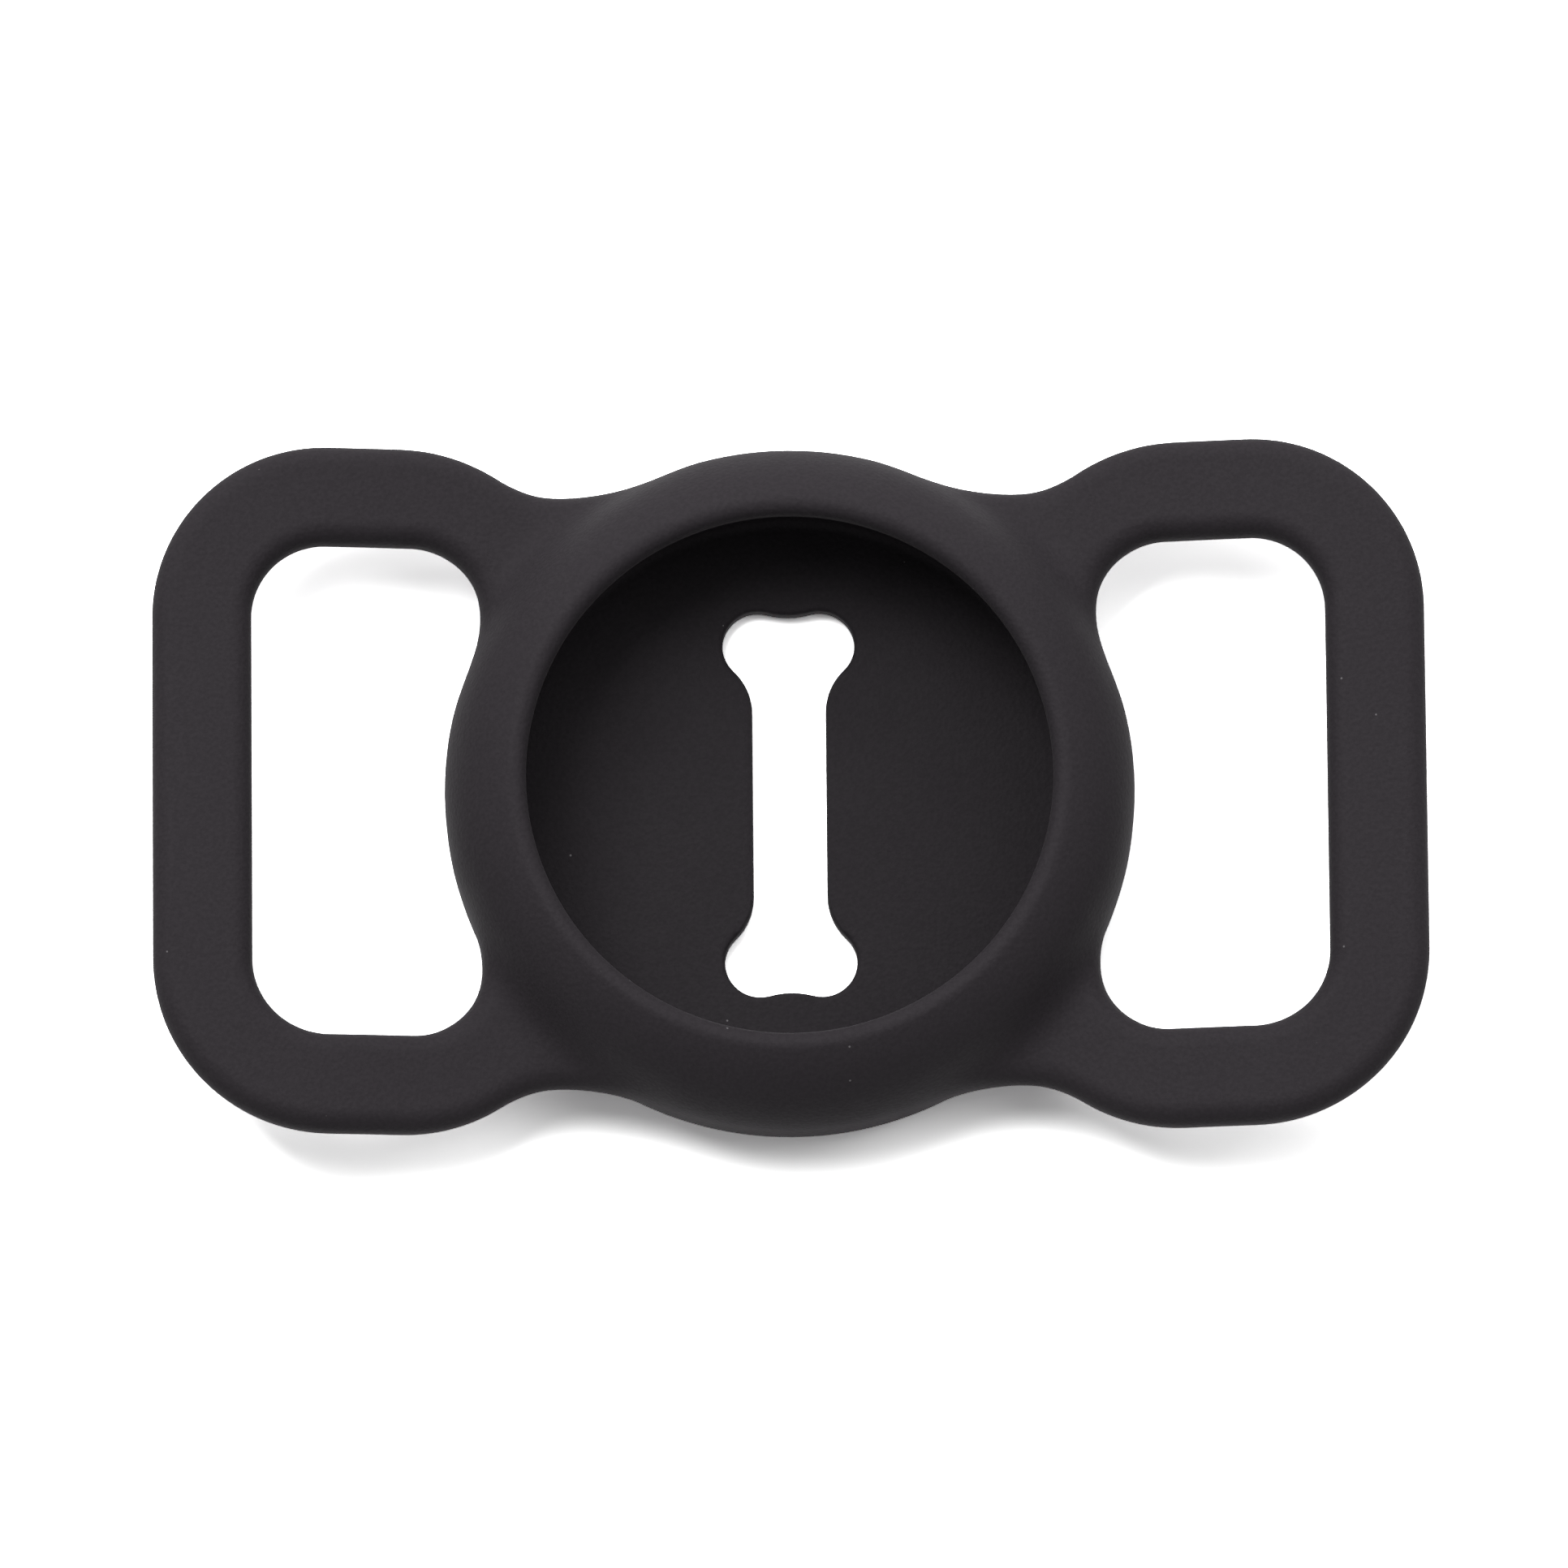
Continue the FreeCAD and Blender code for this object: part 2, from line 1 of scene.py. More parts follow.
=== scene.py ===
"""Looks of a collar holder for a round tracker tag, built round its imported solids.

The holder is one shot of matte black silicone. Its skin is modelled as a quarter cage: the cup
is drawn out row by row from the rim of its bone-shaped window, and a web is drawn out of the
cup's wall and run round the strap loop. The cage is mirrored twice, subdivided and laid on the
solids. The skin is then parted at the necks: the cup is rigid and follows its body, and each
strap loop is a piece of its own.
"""

import logging
import math
from collections.abc import Iterable, Iterator, Sequence
from contextlib import contextmanager
from dataclasses import dataclass, field
from enum import Enum

import bmesh
import bpy
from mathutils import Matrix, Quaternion, Vector


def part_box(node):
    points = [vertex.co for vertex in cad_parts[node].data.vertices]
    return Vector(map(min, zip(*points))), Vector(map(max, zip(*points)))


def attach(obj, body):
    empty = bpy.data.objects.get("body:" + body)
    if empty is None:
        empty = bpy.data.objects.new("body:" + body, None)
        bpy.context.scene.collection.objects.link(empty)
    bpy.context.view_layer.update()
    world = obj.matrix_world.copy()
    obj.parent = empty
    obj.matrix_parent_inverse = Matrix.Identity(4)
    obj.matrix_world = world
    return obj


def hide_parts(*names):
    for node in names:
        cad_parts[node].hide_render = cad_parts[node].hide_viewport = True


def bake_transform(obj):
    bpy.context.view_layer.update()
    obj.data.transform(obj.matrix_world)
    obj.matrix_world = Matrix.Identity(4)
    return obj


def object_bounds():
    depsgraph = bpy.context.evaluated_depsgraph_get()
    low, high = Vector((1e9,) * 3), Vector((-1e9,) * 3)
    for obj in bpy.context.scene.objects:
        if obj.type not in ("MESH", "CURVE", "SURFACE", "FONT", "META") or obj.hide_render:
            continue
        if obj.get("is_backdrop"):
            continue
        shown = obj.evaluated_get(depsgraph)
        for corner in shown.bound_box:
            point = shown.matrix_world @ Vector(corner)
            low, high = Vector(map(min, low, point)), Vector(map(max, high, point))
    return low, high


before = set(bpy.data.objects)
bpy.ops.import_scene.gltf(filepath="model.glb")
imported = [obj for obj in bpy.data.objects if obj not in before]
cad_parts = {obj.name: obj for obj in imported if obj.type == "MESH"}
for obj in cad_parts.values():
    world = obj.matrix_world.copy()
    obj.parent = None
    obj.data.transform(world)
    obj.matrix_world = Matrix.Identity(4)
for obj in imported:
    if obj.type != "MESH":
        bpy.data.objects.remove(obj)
SOLID_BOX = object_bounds()

MM = 0.001
TINY = MM * MM
IMAGE_SIDE = 1932
BLACK = (0.0, 0.0, 0.0, 1.0)
WHITE = (1.0, 1.0, 1.0, 1.0)
log = logging.getLogger("tag_holder")

Row = list[Vector]
Flat = tuple[float, float]
Span = tuple[float, float]
Colour = tuple[float, float, float, float]


class Side(Enum):
    """The two sides that a strap loop can be on, with the sign of its x."""

    LEFT = -1
    RIGHT = 1

    @property
    def word(self) -> str:
        """The side's name in node and piece names."""
        return self.name.lower()


def polar(centre: Flat, radius: float, angle: float) -> Flat:
    """Give the point at a radius and an angle in degrees about a centre."""
    turn = math.radians(angle)
    return (centre[0] + radius * math.cos(turn), centre[1] + radius * math.sin(turn))


def arc(centre: Flat, radius: float, start: float, end: float, steps: int) -> list[Flat]:
    """Walk along an arc.

    Args:
        centre: Middle of the arc.
        radius: Its radius.
        start: First angle in degrees.
        end: Last angle in degrees.
        steps: Number of equal steps.

    Returns:
        The points of the arc, with both ends.
    """
    angles = [start + (end - start) * i / steps for i in range(steps + 1)]
    return [polar(centre, radius, angle) for angle in angles]


def line(start: Flat, end: Flat, steps: int) -> list[Flat]:
    """Walk along a straight line.

    Args:
        start: First point.
        end: Last point.
        steps: Number of equal steps.

    Returns:
        The points of the line, with both ends.
    """
    shares = [i / steps for i in range(steps + 1)]
    return [tuple(a + (b - a) * share for a, b in zip(start, end)) for share in shares]


def chain(*stretches: list[Flat]) -> list[Flat]:
    """Join stretches end to end.

    Args:
        *stretches: The stretches; each starts where the one before it ends.

    Returns:
        Their points, each shared one once.
    """
    points = list(stretches[0])
    for stretch in stretches[1:]:
        points += stretch[1:]
    return points


def bearing(centre: Flat, point: Flat) -> float:
    """Give the angle of a point about a centre, in degrees."""
    return math.degrees(math.atan2(point[1] - centre[1], point[0] - centre[0]))


def fade(value: float, low: float, high: float) -> float:
    """Give a soft step from 0 at a low value to 1 at a high one."""
    share = min(max((value - low) / (high - low), 0.0), 1.0)
    return share * share * (3 - 2 * share)


def between(near: Row, far: Row, shares: Iterable[float]) -> list[Row]:
    """Give the rows that lie at some shares of the way from one row to another."""
    return [[a.lerp(b, share) for a, b in zip(near, far)] for share in shares]


@dataclass
class Clay:
    """One mesh on the bench, shaped in edit mode with Blender's own tools."""

    body: bpy.types.Object

    @classmethod
    def from_row(cls, name: str, row: Row) -> "Clay":
        """Start from a circle primitive whose corners are drawn out to an open row of points.

        Args:
            name: Name of the object.
            row: Places of the corners.

        Returns:
            The row of edges, all selected.
        """
        bpy.ops.object.select_all(action="DESELECT")
        bpy.ops.mesh.primitive_circle_add(vertices=len(row), radius=MM)
        clay = cls(bpy.context.object)
        clay.body.name = name
        with clay.editing() as mesh:
            mesh.verts.ensure_lookup_table()
            closing = mesh.edges.get((mesh.verts[0], mesh.verts[-1]))
            for corner, place in zip(mesh.verts, row):
                corner.co = place
            clay.select(closing.verts, mesh.edges)
            bpy.ops.mesh.delete(type="EDGE")
            bpy.ops.mesh.select_all(action="SELECT")
        return clay

    @staticmethod
    def key(place: Vector) -> tuple[int, ...]:
        """Round a place to whole micrometres, so that it can be looked up."""
        return tuple(round(length / TINY) for length in place)

    def take(self) -> None:
        """Select the object alone and make it the active one."""
        bpy.ops.object.select_all(action="DESELECT")
        bpy.context.view_layer.objects.active = self.body
        self.body.select_set(True)

    @contextmanager
    def editing(self) -> Iterator[bmesh.types.BMesh]:
        """Open the mesh in edit mode, alone, and close it again afterwards.

        Returns:
            A context that gives the open mesh.
        """
        self.take()
        bpy.ops.object.mode_set(mode="EDIT")
        yield self.mesh()
        bmesh.update_edit_mesh(self.body.data)
        bpy.ops.object.mode_set(mode="OBJECT")

    def mesh(self) -> bmesh.types.BMesh:
        """Give the mesh that is open in edit mode."""
        return bmesh.from_edit_mesh(self.body.data)

    def select(self, corners: Iterable[bmesh.types.BMVert], parts: Iterable) -> None:
        """Select the edges or faces that have all their corners in a set, and nothing else.

        Args:
            corners: The corners in the set.
            parts: The edges or the faces to pick from.
        """
        wanted = set(corners)
        bpy.ops.mesh.select_all(action="DESELECT")
        for part in parts:
            if wanted.issuperset(part.verts):
                part.select_set(True)
        bmesh.update_edit_mesh(self.body.data)

    def move_selected(self, before: Row, after: Row) -> None:
        """Move each selected corner from its place in one row to its place in the next.

        Args:
            before: Where the corners are.
            after: Where they go, in the same order.
        """
        goes = {self.key(old): new for old, new in zip(before, after)}
        for corner in self.mesh().verts:
            if corner.select:
                corner.co = goes[self.key(corner.co)]
        bmesh.update_edit_mesh(self.body.data)

    def draw_rows(self, rows: Sequence[Row]) -> None:
        """Extrude the selected row of edges through the rows that follow it.

        Args:
            rows: The selected row and those that follow.
        """
        for before, after in zip(rows, rows[1:]):
            bpy.ops.mesh.extrude_edges_move()
            self.move_selected(before, after)

    def draw_region(self, lattices: Sequence[Row]) -> None:
        """Extrude the selected faces through the lattices that follow theirs.

        Args:
            lattices: The selected faces' own lattice and those that follow.
        """
        for before, after in zip(lattices, lattices[1:]):
            bpy.ops.mesh.extrude_region_move()
            self.move_selected(before, after)

    def weld(self) -> None:
        """Merge corners that share a place and turn all faces outwards."""
        with self.editing():
            bpy.ops.mesh.select_all(action="SELECT")
            bpy.ops.mesh.remove_doubles(threshold=TINY)
            bpy.ops.mesh.normals_make_consistent(inside=False)

    def finish_with(self, kind: str, **settings: object) -> None:
        """Add a modifier with its settings and apply it.

        Args:
            kind: The modifier's type.
            **settings: Its settings by name.
        """
        self.take()
        modifier = self.body.modifiers.new(kind.lower(), kind)
        for name, value in settings.items():
            setattr(modifier, name, value)
        bpy.ops.object.modifier_apply(modifier=modifier.name)


@dataclass
class BoneWindow:
    """The bone-shaped window in the cup's floor; lengths in millimetres."""

    length: float = 21.7
    end_width: float = 7.3
    shaft_width: float = 4.06
    lobe_radius: float = 1.95
    dip_radius: float = 4.6
    throat_radius: float = 3.2
    edge_radius: float = 0.25
    shaft_steps: int = 4
    throat_steps: int = 3
    lobe_steps: int = 8
    dip_steps: int = 3

    def outline(self, outset: float) -> list[Flat]:
        """Trace a quarter of the window, from the shaft's middle to the dip in its end.

        Args:
            outset: How far outside the window's edge to stay.

        Returns:
            The quarter's points.
        """
        shaft = self.shaft_width / 2
        lobe = (self.end_width / 2 - self.lobe_radius, self.length / 2 - self.lobe_radius)
        reach = self.lobe_radius + self.throat_radius
        throat_x = shaft + self.throat_radius
        throat = (throat_x, lobe[1] - math.sqrt(reach**2 - (throat_x - lobe[0]) ** 2))
        dip = (0.0, lobe[1] + math.sqrt((self.lobe_radius + self.dip_radius) ** 2 - lobe[0] ** 2))
        throat_end = bearing(throat, lobe)
        lobe_end = bearing(lobe, dip)
        dip_start = bearing(dip, lobe)
        return chain(
            line((shaft + outset, 0.0), (shaft + outset, throat[1]), self.shaft_steps),
            arc(throat, self.throat_radius - outset, 180, throat_end, self.throat_steps),
            arc(lobe, self.lobe_radius + outset, throat_end - 180, lobe_end, self.lobe_steps),
            arc(dip, self.dip_radius - outset, dip_start, -90, self.dip_steps),
        )

    def rows(self, floor: float) -> list[Row]:
        """Give the rows down the window's wall, from the floor's top to its underside.

        Args:
            floor: The floor's thickness.

        Returns:
            The rows in metres.
        """
        edge = self.edge_radius
        levels = [(edge, floor), (0.0, floor - edge), (0.0, edge), (edge, 0.0)]
        return [[Vector((x, y, z)) * MM for x, y in self.outline(outset)] for outset, z in levels]


@dataclass
class Cup:
    """The round cup that grips the tag, with its window; lengths in millimetres."""

    outer_radius: float = 19.0
    pocket_radius: float = 16.05
    mouth_radius: float = 14.45
    floor: float = 1.3
    lip_underside: float = 9.35
    rim: float = 11.05
    dome_radius: float = 6.1
    base_radius: float = 3.0
    seat_corner: float = 0.6
    lip_edge: float = 0.75
    lip_under_edge: float = 0.2
    floor_edge: float = 15.0
    floor_shares: tuple[float, ...] = (0.15, 0.4, 0.7)
    dome_foot: float = 30.0
    base_angles: tuple[float, ...] = (-15, -40, -65, -90)
    seat_corner_steps: int = 2
    seat_steps: int = 4
    lip_under_steps: int = 2
    lip_steps: int = 4
    dome_steps: int = 5
    ring_steps: int = 18
    window: BoneWindow = field(default_factory=BoneWindow)

    def ring(self, radius: float, height: float) -> Row:
        """Give a quarter ring of points at a radius and a height, in metres."""
        points = arc((0.0, 0.0), radius, 0, 90, self.ring_steps)
        return [Vector((x, y, height)) * MM for x, y in points]

    def section(self, web_levels: Sequence[float]) -> list[Flat]:
        """Trace the cup's section from its floor over the lip and down the outside.

        Args:
            web_levels: Heights of the rows on the outer wall that a web is drawn from.

        Returns:
            Points as radius and height.
        """
        corner = self.seat_corner
        seat_x = self.pocket_radius - corner
        under = (self.mouth_radius + self.lip_under_edge, self.lip_underside + self.lip_under_edge)
        dome = (self.outer_radius - self.dome_radius, self.rim - self.dome_radius)
        edge_x = self.mouth_radius + self.lip_edge
        edge_rise = math.sqrt((self.dome_radius - self.lip_edge) ** 2 - (edge_x - dome[0]) ** 2)
        edge = (edge_x, dome[1] + edge_rise)
        crest = bearing(dome, edge)
        base = (self.outer_radius - self.base_radius, self.base_radius)
        low = arc((seat_x, self.floor + corner), corner, -90, 0, self.seat_corner_steps)
        high = arc((seat_x, self.lip_underside - corner), corner, 0, 90, self.seat_corner_steps)
        seat = chain(low, line(low[-1], high[0], self.seat_steps), high)
        lip_under = arc(under, self.lip_under_edge, 270, 180, self.lip_under_steps)
        lip_top = arc(edge, self.lip_edge, 180, crest, self.lip_steps)
        shoulder = arc(dome, self.dome_radius, crest, self.dome_foot, self.dome_steps)
        inside = [(self.floor_edge, self.floor)] + seat + lip_under
        wall = [(self.outer_radius, level) for level in web_levels]
        foot = [polar(base, self.base_radius, angle) for angle in self.base_angles]
        return inside + chain(lip_top, shoulder) + wall + foot + [(self.floor_edge, 0.0)]

    def rows(self, web_levels: Sequence[float]) -> list[Row]:
        """Give all rows of the quarter, from the window's upper edge round to it again.

        Args:
            web_levels: Heights of the rows on the outer wall that a web is drawn from.

        Returns:
            The rows in metres; the last one is the first.
        """
        window = self.window.rows(self.floor)
        rings = [self.ring(radius, height) for radius, height in self.section(web_levels)]
        top = between(window[0], rings[0], self.floor_shares)
        under = between(window[-1], rings[-1], reversed(self.floor_shares))
        return [window[0]] + top + rings + under + window[::-1]


@dataclass
class StrapLoop:
    """The strap loop and the web that carries it; lengths in millimetres.

    The slot's inner corner has as many steps as the notch and the shoulder have together.
    """

    reach: float = 35.0
    half_width: float = 19.15
    bar_width: float = 5.45
    thickness: float = 2.8
    edge_radius: float = 1.15
    corner_radius: float = 9.6
    slot_start: float = 17.0
    slot_inner_radius: float = 3.8
    notch_place: float = 12.5
    notch_depth: float = 2.62
    notch_radius: float = 6.4
    shoulder_radius: float = 10.0
    web_height: float = 4.6
    rise_start: float = 9.0
    rise: float = 2.5
    root_first: int = 5
    root_last: int = 13
    notch_steps: int = 3
    shoulder_steps: int = 3
    neck_steps: int = 4
    corner_steps: int = 9
    bar_steps: int = 6

    @property
    def levels(self) -> tuple[float, float, float]:
        """Heights of the web's top, middle and underside at the cup."""
        half = self.thickness / 2
        return (self.web_height + half, self.web_height, self.web_height - half)

    def height(self, x: float) -> float:
        """Give the height of the loop's middle, which rises in two equal arcs.

        Args:
            x: Distance from the cup's axis.

        Returns:
            The height.
        """
        run = self.reach - self.rise_start
        radius = (run**2 + self.rise**2) / (4 * self.rise)
        along = min(max(x - self.rise_start, 0.0), run)
        if along < run / 2:
            return self.web_height + radius - math.sqrt(radius**2 - along**2)
        return self.web_height + self.rise - radius + math.sqrt(radius**2 - (run - along) ** 2)

    def ribs(self) -> list[tuple[Flat, Flat]]:
        """Pair the loop's two edges, from the web's root round to the middle of its outer bar.

        Returns:
            A point on the slot's edge and one on the outer edge for each rib.
        """
        slot_top = self.half_width - self.bar_width
        slot_end = self.reach - self.bar_width
        turn = (self.reach - self.corner_radius, self.half_width - self.corner_radius)
        inner = (self.slot_start + self.slot_inner_radius, slot_top - self.slot_inner_radius)
        inner_steps = self.notch_steps + self.shoulder_steps
        notch = (self.notch_place, self.half_width - self.notch_depth + self.notch_radius)
        reach = self.notch_radius + self.shoulder_radius
        shoulder_y = self.half_width - self.shoulder_radius
        shoulder = (notch[0] + math.sqrt(reach**2 - (notch[1] - shoulder_y) ** 2), shoulder_y)
        swing = bearing(notch, shoulder)
        slot_edge = chain(
            arc(inner, self.slot_inner_radius, 180, 90, inner_steps),
            line((inner[0], slot_top), (turn[0], slot_top), self.neck_steps),
            arc(turn, self.corner_radius - self.bar_width, 90, 0, self.corner_steps),
            line((slot_end, turn[1]), (slot_end, 0.0), self.bar_steps),
        )
        outer_edge = chain(
            arc(notch, self.notch_radius, -90, swing, self.notch_steps),
            arc(shoulder, self.shoulder_radius, swing + 180, 90, self.shoulder_steps),
            line((shoulder[0], self.half_width), (turn[0], self.half_width), self.neck_steps),
            arc(turn, self.corner_radius, 90, 0, self.corner_steps),
            line((self.reach, turn[1]), (self.reach, 0.0), self.bar_steps),
        )
        return list(zip(slot_edge, outer_edge))

    def lattice(self, near: Flat, far: Flat) -> Row:
        """Lay out the rounded section of one rib as three levels of points.

        Args:
            near: The rib's end on the slot's edge.
            far: Its end on the outer edge.

        Returns:
            The points in metres, from the slot's edge outwards, top to bottom at each place.
        """
        width = math.dist(near, far)
        edge = self.edge_radius
        cut = edge * (1 - math.sqrt(0.5))
        half = self.thickness / 2
        flats = self.root_last - self.root_first - 2
        flat = [edge + (width - 2 * edge) * i / flats for i in range(flats + 1)]
        columns = [(cut, 0.0, half - cut)]
        columns += [(place, place, half) for place in flat]
        columns += [(width - cut, width, half - cut)]
        points = []
        for place, middle, lift in columns:
            for spot, rise in ((place, lift), (middle, 0.0), (place, -lift)):
                x, y = (a + (b - a) * spot / width for a, b in zip(near, far))
                points.append(Vector((x, y, self.height(x) + rise)) * MM)
        return points


@dataclass
class Skin:
    """The holder's whole skin, before it is parted at the necks; lengths in millimetres."""

    cup: Cup
    loop: StrapLoop
    levels: int = 2
    smooth_share: float = 0.25
    smooth_passes: int = 2
    valley_radius: float = 19.4
    valley_span: Span = (0.6, 3.6)
    valley_near: Span = (12.0, 22.0)
    valley_far: Span = (64.0, 76.0)
    valley_heights: Span = (2.4, 3.4)
    valley_share: float = 0.5
    valley_passes: int = 45

    def build(self) -> Clay:
        """Model the quarter, mirror it twice and lay it on the solids.

        Returns:
            The finished skin.
        """
        rows = self.cup.rows(self.loop.levels)
        clay = Clay.from_row("holder_skin", rows[0])
        with clay.editing():
            bpy.ops.mesh.select_all(action="SELECT")
            clay.draw_rows(rows)
        clay.weld()
        self.draw_loop(clay)
        clay.finish_with("MIRROR", use_axis=(True, True, False), merge_threshold=TINY)
        clay.weld()
        clay.finish_with("SUBSURF", levels=self.levels, render_levels=self.levels)
        solids = self.copy_solids()
        clay.finish_with("SHRINKWRAP", target=solids, wrap_method="NEAREST_SURFACEPOINT")
        clay.finish_with("SMOOTH", factor=self.smooth_share, iterations=self.smooth_passes)
        clay.finish_with("SHRINKWRAP", target=solids, wrap_method="NEAREST_SURFACEPOINT")
        bpy.data.objects.remove(solids)
        self.soften_valley(clay)
        return clay

    def draw_loop(self, clay: Clay) -> None:
        """Draw the web out of the cup's wall and run it round to the middle of the outer bar.

        Args:
            clay: The quarter of the cup.
        """
        span = range(self.loop.root_first, self.loop.root_last + 1)
        rings = [self.cup.ring(self.cup.outer_radius, level) for level in self.loop.levels]
        root = [ring[i] for i in span for ring in rings]
        lattices = [root] + [self.loop.lattice(*rib) for rib in self.loop.ribs()]
        with clay.editing() as mesh:
            corners = [v for v in mesh.verts if any((v.co - p).length < TINY for p in root)]
            bpy.ops.mesh.select_mode(type="FACE")
            clay.select(corners, mesh.faces)
            clay.draw_region(lattices)
            bpy.ops.mesh.delete(type="FACE")

    def copy_solids(self) -> bpy.types.Object:
        """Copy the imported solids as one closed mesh, without the faces where they meet.

        Returns:
            The copy, which is removed after use.
        """
        necks = [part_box(name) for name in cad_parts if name.endswith("neck")]
        planes = {round(corner.x, 6) for box in necks for corner in box}
        bpy.ops.object.select_all(action="DESELECT")
        copies = []
        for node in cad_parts.values():
            copy = node.copy()
            copy.data = node.data.copy()
            copy.parent = None
            bpy.context.scene.collection.objects.link(copy)
            copy.select_set(True)
            copies.append(copy)
        bpy.context.view_layer.objects.active = copies[0]
        bpy.ops.object.join()
        solids = Clay(bpy.context.object)
        with solids.editing() as mesh:
            bpy.ops.mesh.select_all(action="DESELECT")
            for face in mesh.faces:
                flush = (all(abs(v.co.x - x) < TINY for v in face.verts) for x in planes)
                face.select_set(any(flush))
            bpy.ops.mesh.delete(type="FACE")
            bpy.ops.mesh.select_all(action="SELECT")
            bpy.ops.mesh.remove_doubles(threshold=TINY)
        return solids.body

    def soften_valley(self, clay: Clay) -> None:
        """Melt the valley where the webs leave the cup into one soft sweep.

        Args:
            clay: The skin, already laid on the solids.
        """
        group = clay.body.vertex_groups.new(name="valley")
        for corner in clay.body.data.vertices:
            x, y, z = (abs(length) / MM for length in corner.co)
            angle = bearing((0.0, 0.0), (x, y))
            share = 1 - fade(abs(math.hypot(x, y) - self.valley_radius), *self.valley_span)
            share *= fade(angle, *self.valley_near) * (1 - fade(angle, *self.valley_far))
            share *= fade(z, *self.valley_heights)
            if share > 0:
                group.add([corner.index], share, "REPLACE")
        settings = {"factor": self.valley_share, "iterations": self.valley_passes}
        clay.finish_with("SMOOTH", vertex_group=group.name, **settings)
        clay.body.vertex_groups.clear()


@dataclass
class Holder:
    """The skin parted into a rigid cup and two loops; lengths in millimetres."""

    seam: float = 19.6
    bend_end: float = 22.6
    crease_angle: float = 40.0
    slot: str = "silicone"

    def part(self, skin: Clay, name: str, low: float, high: float) -> bpy.types.Object:
        """Copy the stretch of the skin between two upright planes, closed where it is cut.

        Args:
            skin: The whole skin.
            name: Name of the copy.
            low: Lowest x that is kept.
            high: Highest x that is kept.

        Returns:
            The copy.
        """
        skin.take()
        bpy.ops.object.duplicate()
        piece = Clay(bpy.context.object)
        piece.body.name = name
        with piece.editing():
            for place, outwards in ((low, -1), (high, 1)):
                bpy.ops.mesh.select_all(action="SELECT")
                bpy.ops.mesh.bisect(
                    plane_co=(place * MM, 0, 0),
                    plane_no=(outwards, 0, 0),
                    use_fill=True,
                    clear_outer=True,
                    threshold=TINY,
                )
            bpy.ops.mesh.select_all(action="SELECT")
            bpy.ops.mesh.normals_make_consistent(inside=False)
        bpy.ops.object.shade_smooth_by_angle(angle=math.radians(self.crease_angle))
        return piece.body

    def build(self, skin: Clay, reach: float) -> Iterator[bpy.types.Object]:
        """Part the skin and let the cup follow its body.

        Args:
            skin: The whole skin, which is removed at the end.
            reach: How far the loops reach from the cup's axis.

        Returns:
            The pieces, one after another.
        """
        cup = self.part(skin, "pocket_cup_skin", -self.seam, self.seam)
        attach(cup, "cup")
        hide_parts("pocket_cup")
        yield cup
        for side in Side:
            word = side.word
            ends = sorted((side.value * self.seam, side.value * 2 * reach))
            loop = self.part(skin, f"{word}_loop_skin", *ends)
            start, end = ((side.value * x * MM, 0.0, 0.0) for x in (self.seam, self.bend_end))
            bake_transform(loop)
            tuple(start)
            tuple(end)
            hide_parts(f"{word}_loop", f"front_{word}_neck", f"rear_{word}_neck")
            yield loop
        bpy.data.objects.remove(skin.body)

    def dress(self, pieces: Iterable[bpy.types.Object], material: bpy.types.Material) -> None:
        """Give every piece its finish.

        Args:
            pieces: The pieces.
            material: The finish.
        """
        for piece in pieces:
            piece.data.materials.clear()
            piece.data.materials.append(material)


class Shade:
    """A socket that expressions can be written on; each operation adds a Math node."""

    def __init__(self, nodes: "Nodes", socket: bpy.types.NodeSocket) -> None:
        """Wrap an output socket of a tree."""
        self.nodes = nodes
        self.socket = socket

    def math(self, operation: str, first: "Shade | float", second: "Shade | float") -> "Shade":
        """Add a Math node for one operation on two values."""
        return self.nodes.add("ShaderNodeMath", {"operation": operation}, {0: first, 1: second})

    def __add__(self, other: "Shade | float") -> "Shade":
        """Add a value."""
        return self.math("ADD", self, other)

    def __radd__(self, other: "Shade | float") -> "Shade":
        """Be added to a value."""
        return self.math("ADD", other, self)

    def __mul__(self, other: "Shade | float") -> "Shade":
        """Multiply by a value."""
        return self.math("MULTIPLY", self, other)

    def __rmul__(self, other: "Shade | float") -> "Shade":
        """Multiply a value."""
        return self.math("MULTIPLY", other, self)

    def __sub__(self, other: "Shade | float") -> "Shade":
        """Take a value away."""
        return self.math("SUBTRACT", self, other)

    def __rsub__(self, other: "Shade | float") -> "Shade":
        """Be taken away from a value."""
        return self.math("SUBTRACT", other, self)

    def __gt__(self, other: "Shade | float") -> "Shade":
        """Give 1 where this is above a value, and 0 elsewhere."""
        return self.math("GREATER_THAN", self, other)


